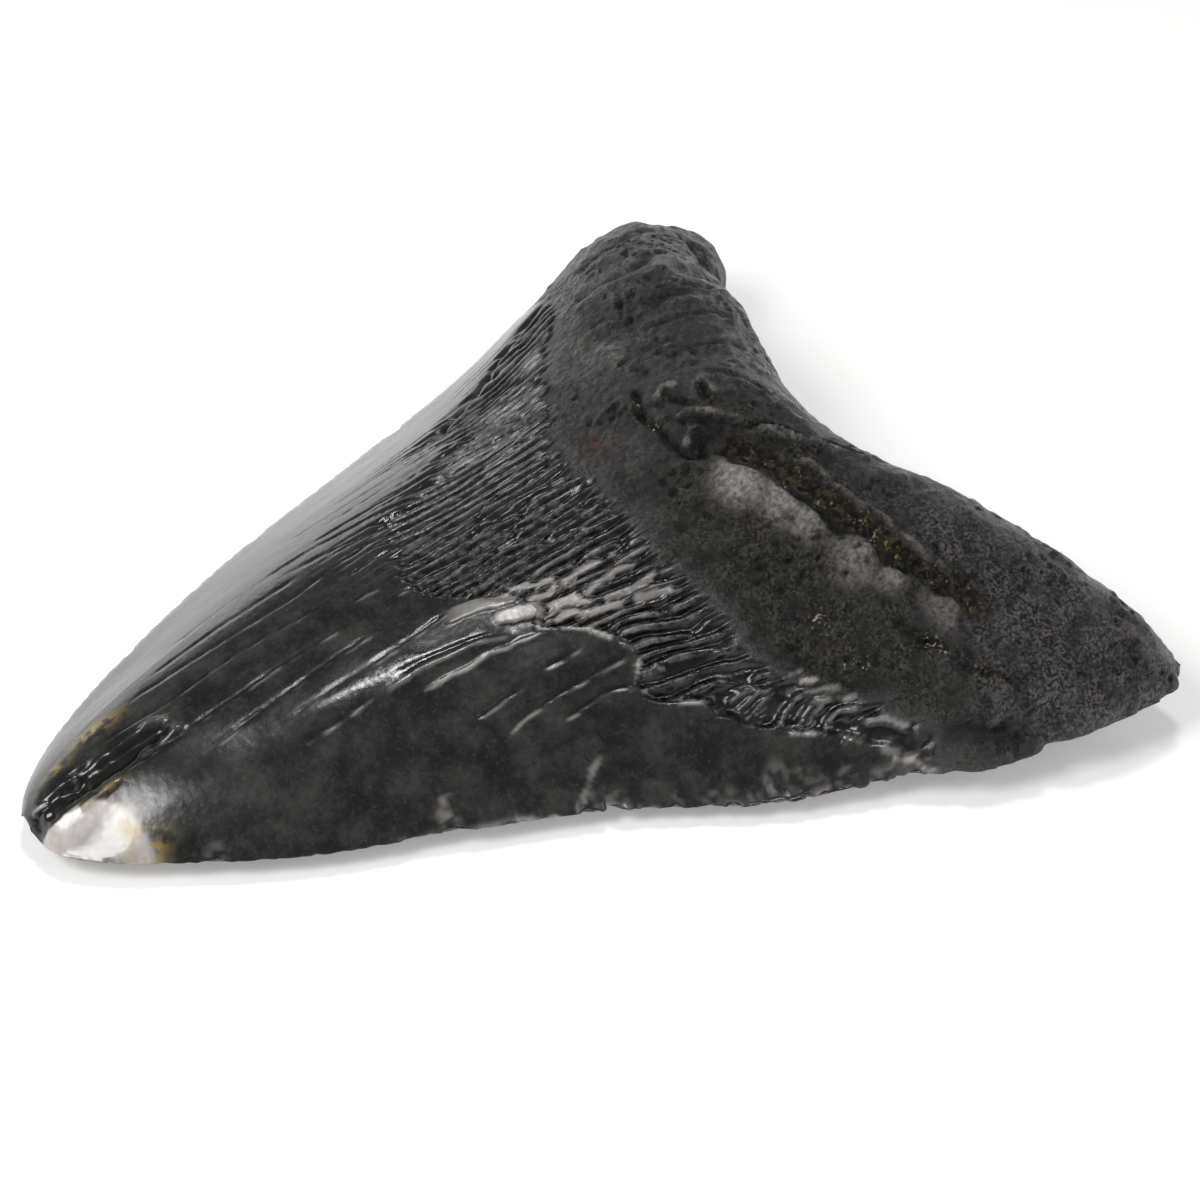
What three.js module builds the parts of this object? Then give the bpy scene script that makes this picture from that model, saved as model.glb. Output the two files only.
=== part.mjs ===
// Megalodon tooth: a broad triangular blade of enamel on a thick root with two lobes.
// The fossil lies on its flat labial face, with the domed lingual face up.
// Millimetres. X runs from the tip to the root, +Y to the longer far lobe, +Z up.
// Shapes are written with the tip at zero and moved to the middle of the footprint at the end.
import * as THREE from 'three';

// Driving dimensions
const CREST_HEIGHT = 31; // highest run of the lingual dome
const ENAMEL_STEP = 0.7; // the enamel ends in a ledge this deep
const RIDGE_PITCH = 3.6; // striations between the enamel and the root
const RIDGE_HEIGHT = 0.75;
const TIP_FADE = 0.05; // the relief grows in over this share of the length
const FLAT_HALF = 0.5; // share of the half width that lies flat on the labial face
const FLAT_FROM = 0.2; // the flat starts and ends at these shares of the length
const FLAT_TO = 0.86;

// Plan outline: the two cutting edges from the tip, then the basal edge from near lobe to far lobe
const NEAR_EDGE = [
  [0, -1.5], [0.6, -6.5], [4.5, -11], [14, -17.2], [28, -24.5], [46, -30.8], [66, -38.4],
  [84, -48.6], [102, -55.8], [109, -60.4], [119, -62.8], [130, -64.6], [136.5, -63.8], [140.3, -60.5],
];
const FAR_EDGE = [
  [0, 1.5], [2.2, 5.2], [7, 10.4], [15, 16.5], [28, 24.3], [46, 33.4], [66, 41.8],
  [88, 50.8], [104.5, 56.4], [114.5, 59.8], [124.5, 64], [132, 64.2], [138.5, 61.6], [142, 57],
];
const BASAL_EDGE = [
  [140.3, -60.5], [140.4, -55], [138.6, -48], [135.8, -40], [131.2, -31], [125.2, -20.5], [122.2, -9],
  [123.4, 3], [127.6, 14.5], [132, 27], [135.6, 38], [139.8, 46], [142.2, 51.5], [142, 57],
];

// Heights as [share of the length, height]: both edges and the crest between them
const NEAR_EDGE_HEIGHT = [[0, 4], [0.15, 3.5], [0.4, 3.4], [0.66, 3.4], [0.78, 5.5], [1, 9.5]];
const FAR_EDGE_HEIGHT = [[0, 4], [0.15, 4.5], [0.4, 5], [0.66, 5], [0.78, 6.5], [1, 10.5]];
const CREST = [
  [0, 5.5], [0.06, 9], [0.15, 13], [0.3, 17.5], [0.45, 21.5], [0.6, 25.5], [0.72, 29],
  [0.84, CREST_HEIGHT], [0.92, 30], [1, 27],
];
// Height of the basal rim as [share across from near to far, height]
const BASAL_RIM = [[-1, 9.5], [-0.5, 10], [0, 11], [0.5, 10.5], [1, 10.5]];

// Nicks in the cutting edges as [share of the length, depth, half length along the edge]
const NEAR_NICKS = [
  [0.33, 0.5, 0.012], [0.36, 0.8, 0.006], [0.484, 0.9, 0.007], [0.56, 0.5, 0.008],
  [0.61, 0.5, 0.007], [0.665, 0.5, 0.007], [0.72, 0.6, 0.01], [0.85, 1.4, 0.012],
];
const FAR_NICKS = [[0.218, 0.6, 0.008], [0.4, 0.3, 0.008], [0.602, 0.6, 0.01], [0.74, 0.7, 0.012]];

// Where the enamel ends and where the root begins, as [place across, distance from the tip]
const ENAMEL_END = [
  [-58, 104], [-50, 97], [-44, 88.4], [-39, 83], [-33, 76], [-29, 74.2], [-25, 75.5], [-20, 71],
  [-16, 67], [-12, 64.5], [-8, 59], [-3, 56], [4, 58], [10.6, 60.6], [14.3, 68.3], [18, 74],
  [23, 79], [28, 77.5], [31.6, 81.2], [36.5, 89], [39, 94.5], [44, 101], [47, 107.5], [58, 109],
];
const ROOT_START = [
  [-58, 104], [-52, 101.3], [-47, 97.5], [-42, 93], [-36, 89], [-28, 87.2], [-20, 84.8],
  [-10, 84.5], [-2, 82.8], [8, 84.5], [16, 89.2], [24, 93.4], [32, 99.2], [44, 107.6], [58, 109],
];
// Slope of the striations as [place across at MIDDLE_OF_BAND, slope]
const MIDDLE_OF_BAND = 85;
const RIDGE_SLOPE = [[-60, -0.45], [-36, -0.41], [-22, -0.38], [-8, -0.3], [10, 0], [30, 0.5], [60, 0.75]];

// Grooves, cracks and folds, cut below the surface: half width, depth and the line that each follows
const GROOVES = [
  // parallel grooves in the crown
  { width: 0.8, depth: 0.5, line: [[17, 4.8], [42.3, 6.1], [59.6, 8.4]] },
  { width: 0.8, depth: 0.55, line: [[21, -5], [45.9, -3.9]] },
  { width: 0.8, depth: 0.55, line: [[20.5, -9.4], [49.3, -6.4]] },
  { width: 0.9, depth: 0.65, line: [[29.8, -11.9], [58.1, -9.6]] },
  { width: 0.9, depth: 0.6, line: [[32.4, -14.9], [54.9, -14.7], [68.7, -14.8]] },
  { width: 0.9, depth: 0.6, line: [[48.7, -17], [64.9, -18.4]] },
  { width: 0.9, depth: 0.6, line: [[51.9, -22.3], [61.2, -23]] },
  { width: 0.9, depth: 0.6, line: [[55.8, -25.4], [74.3, -26.2]] },
  { width: 0.8, depth: 0.45, line: [[46.8, 16], [72.7, 16.3]] },
  { width: 0.8, depth: 0.45, line: [[50.3, 22.6], [79.5, 23.3]] },
  // rough channel at the tip
  { width: 1.4, depth: 1.1, line: [[1, -2.2], [4.6, -2], [10.3, -1.9], [14.3, -2.6], [20, -5.4]] },
  // slit where the enamel lifts on the far side
  { width: 1.1, depth: 1, line: [[77, 27.5], [88.7, 35.8], [97.1, 41.4], [107, 45.8]] },
  // deep fold beside the boss, with the hollow at its foot
  { width: 1.2, depth: 1.7, line: [[99, 11], [96.4, 3.5], [95.1, -2.3], [95.1, -8.1], [96.5, -10.6]] },
  { width: 1.9, depth: 1, line: [[97.5, -3], [98.2, -7]] },
  // crack along the crest of the near lobe
  { width: 1, depth: 1, line: [[100.7, -4.3], [104.9, -8.4], [111.2, -16.2], [114.1, -18.7]] },
  // sunken mineral band
  {
    width: 1.9,
    depth: 1.6,
    line: [[101.5, -11.5], [103.8, -17], [105.8, -22], [106.8, -27], [109.2, -34], [111.4, -41], [114.2, -48]],
  },
  // lower crack and the slit under the near lobe
  { width: 0.9, depth: 1.1, line: [[104.7, -42], [107.2, -47.8], [110.3, -52.9], [113.7, -56], [116.8, -59.6]] },
  { width: 1.2, depth: 1.5, line: [[102, -53], [108.1, -57.3], [111.1, -59.9], [115.6, -62]] },
  // folds on the far lobe
  { width: 1.8, depth: 1, line: [[111, 36], [117, 35.5], [124, 38]] },
  { width: 1.6, depth: 1, line: [[113, 47], [121, 46], [129, 49]] },
  { width: 1.4, depth: 1.1, line: [[131, 37], [134.5, 44], [136, 49]] },
];

// Lumps raised on the surface, and pits with a negative height: place, radius along x and y, height
const LUMPS = [
  // boss in the middle of the root, shoulders of both lobes
  { at: [103, 0], size: [13, 15], height: 2.5 },
  { at: [122, 26], size: [12, 16], height: 2.5 },
  { at: [122, -36], size: [12, 14], height: 2 },
  { at: [130, 55], size: [9, 9], height: 2.2 },
  // scalloped lumps below the mineral band
  { at: [97, -14.5], size: [3.6, 4.4], height: 1.2 },
  { at: [100.4, -20], size: [3, 3.6], height: 1.3 },
  { at: [102.4, -27.2], size: [2.8, 3.4], height: 1.2 },
  { at: [105, -34.5], size: [2.6, 3], height: 1.1 },
  { at: [107.6, -40.7], size: [2.2, 2.6], height: 1 },
  { at: [110.6, -46.8], size: [2.4, 2.8], height: 1 },
  // knob and ridge beside the fold
  { at: [99.8, 3], size: [2, 2.6], height: 1.5 },
  { at: [102.4, -5], size: [3, 1.6], height: 1.1 },
  // small ringed lump on the near lobe
  { at: [110.7, -57.4], size: [1.9, 1.9], height: 0.9 },
  // hollows and pits of the root
  { at: [124.6, 29], size: [4, 4], height: -1.3 },
  { at: [91, 2], size: [3.5, 4], height: -0.6 },
  { at: [96, -36], size: [5, 4], height: -0.7 },
  { at: [103, -48], size: [3.5, 3], height: -0.7 },
  { at: [119, -30], size: [2, 2], height: -0.6 },
  { at: [126, -50], size: [2.6, 2.2], height: -0.7 },
  { at: [112, 22], size: [2.4, 2], height: -0.6 },
  // facet worn on the near side of the tip
  { at: [7, -8.5], size: [6, 3.2], height: -0.7 },
];

// Mesh rows on the lingual face: the last row, the number of steps and the points across
const TOP_BLOCKS = [
  { from: 0, to: 0.12, steps: 6, across: 20 },
  { from: 0.12, to: 0.42, steps: 15, across: 46 },
  { from: 0.42, to: 1, steps: 40, across: 88 },
];
const TOP_ROW_EASE = 1.6; // above 1 the root's rows close up towards the basal edge
// Mesh lines on the labial face
const LOW_ROWS = [0.04, 0.09, 0.14, FLAT_FROM, 0.34, 0.5, 0.64, 0.76, FLAT_TO, 0.9, 0.94, 0.97, 0.985, 0.996];
const LOW_HALF_COLUMNS = [0.08, 0.22, 0.36, FLAT_HALF, 0.6, 0.7, 0.79, 0.87, 0.93, 0.975];

const clamp = THREE.MathUtils.clamp;

function smoothstep(from, to, x) {
  const k = clamp((x - from) / (to - from), 0, 1);
  return k * k * (3 - 2 * k);
}

// Smooth curve through the pairs [place, value], with three-point slopes
function curve(pairs, x) {
  const last = pairs.length - 1;
  let i = 0;
  while (i < last - 1 && x >= pairs[i + 1][0]) i += 1;
  const slope = (j) => {
    if (j === 0) return (pairs[1][1] - pairs[0][1]) / (pairs[1][0] - pairs[0][0]);
    if (j === last) return (pairs[last][1] - pairs[last - 1][1]) / (pairs[last][0] - pairs[last - 1][0]);
    const before = pairs[j][0] - pairs[j - 1][0];
    const after = pairs[j + 1][0] - pairs[j][0];
    const slopeBefore = (pairs[j][1] - pairs[j - 1][1]) / before;
    const slopeAfter = (pairs[j + 1][1] - pairs[j][1]) / after;
    return (slopeBefore * after + slopeAfter * before) / (before + after);
  };
  const span = pairs[i + 1][0] - pairs[i][0];
  const k = clamp((x - pairs[i][0]) / span, 0, 1);
  const k2 = k * k;
  const k3 = k2 * k;
  return (2 * k3 - 3 * k2 + 1) * pairs[i][1] + (k3 - 2 * k2 + k) * span * slope(i)
    + (3 * k2 - 2 * k3) * pairs[i + 1][1] + (k3 - k2) * span * slope(i + 1);
}

// Turns a list of plan points into two curves over the share of its length
function outline(points) {
  const run = [0];
  for (let i = 1; i < points.length; i += 1) {
    run.push(run[i - 1] + Math.hypot(points[i][0] - points[i - 1][0], points[i][1] - points[i - 1][1]));
  }
  const total = run[run.length - 1];
  const xs = points.map((point, i) => [run[i] / total, point[0]]);
  const ys = points.map((point, i) => [run[i] / total, point[1]]);
  return (share) => [curve(xs, share), curve(ys, share)];
}

const nearEdge = outline(NEAR_EDGE);
const farEdge = outline(FAR_EDGE);
const basalEdge = outline(BASAL_EDGE);
const nearCorner = nearEdge(1);
const farCorner = farEdge(1);

function nickDepth(nicks, share) {
  return nicks.reduce((sum, [at, depth, half]) => sum + depth * Math.exp(-(((share - at) / half) ** 2)), 0);
}

// Plan position: s runs from the tip (0) to the basal edge (1), t from the near (-1) to the far edge (1)
function plan(s, t) {
  const across = (t + 1) / 2;
  const near = nearEdge(s);
  const far = farEdge(s);
  const end = basalEdge(across);
  const rootward = s ** 2.6;
  const at = (i) => near[i] + (far[i] - near[i]) * across
    + rootward * (end[i] - nearCorner[i] - (farCorner[i] - nearCorner[i]) * across);
  const inward = nickDepth(NEAR_NICKS, s) * smoothstep(-0.8, -1, t)
    - nickDepth(FAR_NICKS, s) * smoothstep(0.8, 1, t);
  return [at(0), at(1) + inward];
}

// Height of the sharp edge where the two faces meet
function edgeHeight(s, t) {
  const across = (t + 1) / 2;
  const side = curve(NEAR_EDGE_HEIGHT, s) * (1 - across) + curve(FAR_EDGE_HEIGHT, s) * across;
  return side + (curve(BASAL_RIM, t) - side) * smoothstep(0.8, 1, s);
}

// Nearest distance from a point to a line of points
function distanceTo(line, x, y) {
  let nearest = Infinity;
  for (let i = 1; i < line.length; i += 1) {
    const [ax, ay] = line[i - 1];
    const [bx, by] = line[i];
    const along = ((x - ax) * (bx - ax) + (y - ay) * (by - ay)) / ((bx - ax) ** 2 + (by - ay) ** 2);
    const k = clamp(along, 0, 1);
    nearest = Math.min(nearest, Math.hypot(x - ax - k * (bx - ax), y - ay - k * (by - ay)));
  }
  return nearest;
}

// Place across the band, followed back along the fanned striations to its middle
function ridgeFoot(x, y) {
  let foot = y;
  for (let pass = 0; pass < 12; pass += 1) {
    foot = 0.5 * foot + 0.5 * (y - curve(RIDGE_SLOPE, foot) * (x - MIDDLE_OF_BAND));
  }
  return foot;
}

// Striated band: below the enamel's ledge, with ridges that die out in the root
function bandRelief(x, y) {
  const peeled = smoothstep(-0.6, 0.6, x - curve(ENAMEL_END, y));
  const inBand = peeled * smoothstep(2, -2, x - curve(ROOT_START, y));
  const ridges = Math.cos((2 * Math.PI * ridgeFoot(x, y)) / RIDGE_PITCH);
  return -ENAMEL_STEP * peeled + inBand * (RIDGE_HEIGHT / 2) * ridges;
}

// Uneven bone of the root, in waves of a few millimetres
function boneRelief(x, y) {
  const inRoot = smoothstep(0, 6, x - curve(ROOT_START, y));
  const waves = Math.sin(x * 0.61 + 1.2 * Math.sin(y * 0.23)) * Math.sin(y * 0.53 + 0.9 * Math.sin(x * 0.31));
  const wrinkles = Math.sin(x * 1.35 + 2 * Math.sin(y * 0.35)) * Math.cos(y * 0.9 + x * 0.2);
  return inRoot * (0.35 * waves + 0.18 * wrinkles);
}

function relief(x, y) {
  let height = bandRelief(x, y) + boneRelief(x, y);
  for (const { width, depth, line } of GROOVES) {
    height -= depth * Math.exp(-((distanceTo(line, x, y) / width) ** 2));
  }
  for (const { at, size, height: lump } of LUMPS) {
    height += lump * Math.exp(-(((x - at[0]) / size[0]) ** 2) - (((y - at[1]) / size[1]) ** 2));
  }
  return height;
}

// Lingual face: a dome over the edges, fuller in the root, rolled over at the basal edge
function upperPoint(s, t) {
  const [x, y] = plan(s, t);
  const root = smoothstep(0.6, 0.84, s);
  const dome = Math.max(0, 1 - Math.abs(t) ** (2.15 + 0.3 * root));
  const side = dome ** (1 - 0.45 * root);
  const basal = Math.sqrt(Math.max(0, 1 - clamp((s - 0.87) / 0.13, 0, 1) ** 2.2));
  const edge = edgeHeight(s, t);
  const fade = Math.sqrt(dome) * basal * smoothstep(0, TIP_FADE, s);
  return [x, y, edge + (curve(CREST, s) - edge) * side * basal + relief(x, y) * fade];
}

// Labial face: flat on z = 0 in the middle, lifting to the edges, the tip and the basal edge.
// The blade's sides come up to a sharp edge, and the lobes' sides are rounded.
function lowerPoint(s, t) {
  const [x, y] = plan(s, t);
  const sideward = clamp((Math.abs(t) - FLAT_HALF) / (1 - FLAT_HALF), 0, 1);
  const bladeSide = smoothstep(1, 0, sideward) ** 0.8;
  const lobeSide = (1 - sideward ** 1.7) ** 0.7;
  const flatSide = THREE.MathUtils.lerp(bladeSide, lobeSide, smoothstep(0.74, 0.88, s));
  const flatTip = smoothstep(0, FLAT_FROM, s);
  const flatEnd = Math.sqrt(1 - clamp((s - FLAT_TO) / (1 - FLAT_TO), 0, 1) ** 2);
  return [x, y, edgeHeight(s, t) * (1 - flatSide * flatTip * flatEnd)];
}

// The mesh collects points and triangles
const points = [];
const triangles = [];

function addPoint(point) {
  points.push(point);
  return points.length - 1;
}

// Fills the strip between two lines of points, always closing the shorter gap.
// Each line is a list of { index, at }, with at rising along it.
function fillStrip(first, second, flip) {
  let i = 0;
  let j = 0;
  while (i < first.length - 1 || j < second.length - 1) {
    const nextFirst = i < first.length - 1 ? first[i + 1].at : Infinity;
    const nextSecond = j < second.length - 1 ? second[j + 1].at : Infinity;
    const corner = nextFirst <= nextSecond ? first[i + 1] : second[j + 1];
    const triangle = [first[i].index, corner.index, second[j].index];
    triangles.push(flip ? triangle.reverse() : triangle);
    if (nextFirst <= nextSecond) i += 1;
    else j += 1;
  }
}

function topRowShares() {
  const rows = [];
  TOP_BLOCKS.forEach((block, number) => {
    const lastBlock = number === TOP_BLOCKS.length - 1;
    for (let i = number === 0 ? 0 : 1; i <= block.steps; i += 1) {
      const k = i / block.steps;
      const eased = lastBlock ? 1 - (1 - k) ** TOP_ROW_EASE : k;
      rows.push({ s: block.from + (block.to - block.from) * eased, across: block.across });
    }
  });
  return rows;
}

// Place across for a column, closer together at both edges
function columnShare(k) {
  const even = 2 * k - 1;
  return (even + Math.sin((even * Math.PI) / 2)) / 2;
}

const topRows = topRowShares().map(({ s, across }) => {
  const row = [];
  for (let i = 0; i < across; i += 1) {
    const t = i === across - 1 ? 1 : columnShare(i / (across - 1));
    row.push({ index: addPoint(upperPoint(s, t)), at: t, s, t });
  }
  return row;
});
for (let i = 1; i < topRows.length; i += 1) fillStrip(topRows[i - 1], topRows[i], true);

const lowColumns = [...LOW_HALF_COLUMNS.map((t) => -t).reverse(), ...LOW_HALF_COLUMNS];
const lowRows = LOW_ROWS.map((s) => lowColumns.map((t) => ({ index: addPoint(lowerPoint(s, t)), at: t, s, t })));
for (let i = 1; i < lowRows.length; i += 1) fillStrip(lowRows[i - 1], lowRows[i], false);

// The labial sheet joins the sharp edge all round, one side at a time
function joinSide(edge, sheet, key, flip) {
  const first = edge.map((point) => ({ index: point.index, at: point[key] }));
  const second = sheet.map((point) => ({ index: point.index, at: point[key] }));
  fillStrip(first, second, flip);
}
const lastOf = (row) => row[row.length - 1];
joinSide(topRows.map((row) => row[0]), lowRows.map((row) => row[0]), 's', true);
joinSide(topRows.map(lastOf), lowRows.map(lastOf), 's', false);
joinSide(topRows[0], lowRows[0], 't', false);
joinSide(lastOf(topRows), lastOf(lowRows), 't', true);

// The origin is the middle of the footprint
const bounds = new THREE.Box3().setFromPoints(points.map((point) => new THREE.Vector3(...point)));
const middle = bounds.getCenter(new THREE.Vector3());

const geometry = new THREE.BufferGeometry();
geometry.setAttribute('position', new THREE.Float32BufferAttribute(points.flat(), 3));
geometry.setIndex(triangles.flat());
geometry.translate(-middle.x, -middle.y, -bounds.min.z);
geometry.computeVertexNormals();

const blackEnamel = new THREE.MeshStandardMaterial({ color: 0x1b1c1d, roughness: 0.3, metalness: 0 });
const tooth = new THREE.Mesh(geometry, blackEnamel);
tooth.name = 'tooth';

const fossil = new THREE.Group();
fossil.add(tooth);

export default fossil;
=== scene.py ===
"""Megalodon tooth lying on its flat labial face: glossy black enamel, a striated band and a rough root.

Shapes are worked out in millimetres with the tip at zero, as the solid is, and moved to the row frame.
"""

import math

import bpy
import numpy as np
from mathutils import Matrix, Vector


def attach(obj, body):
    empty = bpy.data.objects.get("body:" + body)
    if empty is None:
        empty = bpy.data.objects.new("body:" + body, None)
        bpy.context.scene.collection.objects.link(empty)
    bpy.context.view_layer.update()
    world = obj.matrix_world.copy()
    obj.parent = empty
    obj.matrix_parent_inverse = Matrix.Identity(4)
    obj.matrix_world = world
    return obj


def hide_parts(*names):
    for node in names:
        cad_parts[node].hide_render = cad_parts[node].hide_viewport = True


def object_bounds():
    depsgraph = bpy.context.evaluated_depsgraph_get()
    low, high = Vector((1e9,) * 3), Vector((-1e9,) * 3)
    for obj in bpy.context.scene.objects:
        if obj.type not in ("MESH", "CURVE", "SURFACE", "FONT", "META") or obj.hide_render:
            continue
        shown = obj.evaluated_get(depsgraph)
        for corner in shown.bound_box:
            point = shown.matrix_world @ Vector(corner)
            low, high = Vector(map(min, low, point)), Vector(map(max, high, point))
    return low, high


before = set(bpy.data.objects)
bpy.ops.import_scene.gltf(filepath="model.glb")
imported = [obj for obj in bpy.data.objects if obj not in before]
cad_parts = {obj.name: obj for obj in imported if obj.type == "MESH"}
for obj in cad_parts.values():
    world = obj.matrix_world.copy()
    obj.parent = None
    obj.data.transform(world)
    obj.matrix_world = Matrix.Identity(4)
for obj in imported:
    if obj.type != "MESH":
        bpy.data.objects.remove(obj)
cad_low, cad_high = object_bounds()

# Outline from the tip, or from near to far, and heights by share of the length: the same as the solid's
NEAR_EDGE = [
    (0, -1.5), (0.6, -6.5), (4.5, -11), (14, -17.2), (28, -24.5), (46, -30.8), (66, -38.4), (84, -48.6),
    (102, -55.8), (109, -60.4), (119, -62.8), (130, -64.6), (136.5, -63.8), (140.3, -60.5),
]
FAR_EDGE = [
    (0, 1.5), (2.2, 5.2), (7, 10.4), (15, 16.5), (28, 24.3), (46, 33.4), (66, 41.8), (88, 50.8),
    (104.5, 56.4), (114.5, 59.8), (124.5, 64), (132, 64.2), (138.5, 61.6), (142, 57),
]
BASAL_EDGE = [
    (140.3, -60.5), (140.4, -55), (138.6, -48), (135.8, -40), (131.2, -31), (125.2, -20.5), (122.2, -9),
    (123.4, 3), (127.6, 14.5), (132, 27), (135.6, 38), (139.8, 46), (142.2, 51.5), (142, 57),
]
NEAR_EDGE_HEIGHT = [(0, 4), (0.15, 3.5), (0.4, 3.4), (0.66, 3.4), (0.78, 5.5), (1, 9.5)]
FAR_EDGE_HEIGHT = [(0, 4), (0.15, 4.5), (0.4, 5), (0.66, 5), (0.78, 6.5), (1, 10.5)]
CREST = [
    (0, 5.5), (0.06, 9), (0.15, 13), (0.3, 17.5), (0.45, 21.5), (0.6, 25.5), (0.72, 29), (0.84, 31),
    (0.92, 30), (1, 27),
]
# Height of the basal rim by place across, from -1 to 1
BASAL_RIM = [(-1, 9.5), (-0.5, 10), (0, 11), (0.5, 10.5), (1, 10.5)]
# Swellings of the root: place, radii along x and y, height
SHOULDERS = [
    ((103, 0), (13, 15), 2.5), ((122, 26), (12, 16), 2.5), ((122, -36), (12, 14), 2.0),
    ((130, 55), (9, 9), 2.2),
]
# Nicks of the cutting edges, finer than the solid's: share of the length, depth, half length
NEAR_NICKS = [
    (0.33, 0.5, 0.012), (0.36, 0.9, 0.004), (0.484, 1.1, 0.004), (0.514, 0.4, 0.006), (0.56, 0.5, 0.008),
    (0.612, 0.5, 0.006), (0.646, 0.4, 0.004), (0.665, 0.5, 0.005), (0.697, 0.4, 0.005), (0.72, 0.6, 0.01),
    (0.765, 0.5, 0.006), (0.85, 1.4, 0.012),
]
FAR_NICKS = [(0.218, 0.7, 0.005), (0.4, 0.3, 0.008), (0.602, 0.6, 0.01), (0.74, 0.7, 0.012)]

# Where the enamel ends and the root begins, as (place across, distance from the tip)
ENAMEL_END = [
    (-58, 104.5), (-53.9, 100.9), (-50.2, 97.2), (-47.2, 94), (-43.8, 88.6), (-39.3, 83.3), (-37.5, 82.1),
    (-35.4, 80.3), (-32.9, 76.1), (-29.9, 74.3), (-27.6, 75.8), (-25.7, 75.6), (-21, 72), (-18.9, 68.9),
    (-17.6, 66.8), (-16, 68.2), (-13.1, 66.4), (-11.7, 64.4), (-8.7, 60.2), (-4.6, 56.7), (-2.7, 56.1),
    (2, 57.2), (5.5, 58.5), (10.7, 60.6), (12.6, 63.7), (14.5, 68.4), (17.6, 74), (20.8, 77), (23.2, 79.4),
    (27.3, 76.9), (31.6, 81.2), (36.9, 89.5), (38.5, 94.3), (44, 100.8), (47, 107.5), (58, 109),
]
ROOT_START = [
    (-58, 104.5), (-54.3, 102.6), (-51.8, 101.3), (-46.8, 97.4), (-42.4, 93.1), (-39.9, 91.1),
    (-36.2, 88.9), (-28.2, 87.1), (-20.1, 84.8), (-14.6, 84.3), (-5.7, 83.9), (2.1, 83.4), (7.7, 84.3),
    (16.3, 89.4), (24.4, 93.6), (31.3, 98.7), (43.9, 107.4), (58, 109),
]
LABIAL_ROOT_START = [
    (-58, 104.5), (-45, 105), (-30, 103.5), (-12, 100), (0, 99), (14, 101), (32, 106), (46, 109), (58, 109),
]
# The band's ridges: their slope and their running count, by place across at the middle of the band
BAND_MIDDLE = 85
RIDGE_SLOPE = [
    (-60, -0.45), (-36, -0.38), (-28, -0.32), (-22, -0.2), (-16, -0.08), (-6, 0), (20, 0), (32, 0.12),
    (60, 0.3),
]
RIDGE_COUNT = [(-60, -33.5), (-28, -17), (-12, -6.6), (0, 1), (20, 13.4), (60, 36)]
ENAMEL_STEP = 0.6
# The far flank runs flat to its cutting edge: where it starts across the half width, and how far it is let in
FLANK_START, FLANK_DEPTH = 0.42, 0.75
# No fold of the root rises much above the solid: a height over the first value is eased, and none ends
# more than the second above it
CEILING, CEILING_GIVE = 32.8, 1.3

# Fine grooves of the crown: how strongly the lower side of each is painted light as a highlight, and its line
GROOVES = [
    (0.2, [(16.9, 4.8), (42.3, 6.1), (51.5, 7.8), (59.6, 8.4)]),
    (0.7, [(21, -5.2), (31.1, -4.3), (35.1, -3.9), (42.2, -3.4), (46.4, -3.8)]),
    (0.7, [(20.9, -9.3), (29.9, -8.4), (35.4, -7.9), (41.4, -7.1), (49.5, -6.5)]),
    (0.8, [(29.4, -11.7), (39.2, -10.8), (49.7, -10.4), (59.4, -9.4)]),
    (0.8, [(32.9, -14.8), (38.5, -14.6), (43.4, -14.2)]),
    (0.0, [(47, -13.3), (53.6, -13.8), (57, -14.4), (61.5, -15.4)]),
    (0.5, [(53.8, -22.6), (57.8, -22.4), (61.3, -22.4)]),
    (0.8, [(56.3, -25.7), (59.8, -25.2), (65.1, -25.3), (71.6, -26), (75.2, -26.5)]),
    (1.0, [(63.9, -27.7), (67, -28), (69.4, -28), (71.8, -28.6), (73.8, -29.8)]),
    (0.8, [(64.8, -22.1), (67.5, -22.4), (69.9, -22.4)]),
    (0.5, [(48.6, -0.2), (52.5, -0.5)]),
    (0.5, [(49.6, 5.3), (52.9, 4.4)]),
    (0.7, [(51.7, -3.3), (54.7, -3), (57.2, -3.5)]),
    (0.1, [(46.8, 16), (60, 16), (72.7, 16.3)]),
    (0.1, [(50.3, 22.6), (66, 22.6), (79.5, 23.3)]),
    (0.1, [(44.6, 12.2), (59.2, 10.4)]),
    (0.2, [(11, 0.9), (21.8, 0.4), (32.9, 2.1), (46.4, 1.8)]),
    (0.1, [(22.4, 7.3), (33.9, 9), (46.3, 9.8)]),
    (0.1, [(27, 12.2), (37.7, 13.6), (49.1, 14.4), (64, 13.6)]),
    (0.1, [(55, 19.5), (76, 20)]),
    (0.1, [(60, 26), (74, 27)]),
]
# Width and depth of those grooves
GROOVE_HALF_WIDTH, GROOVE_DEPTH = 0.27, 0.16

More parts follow.
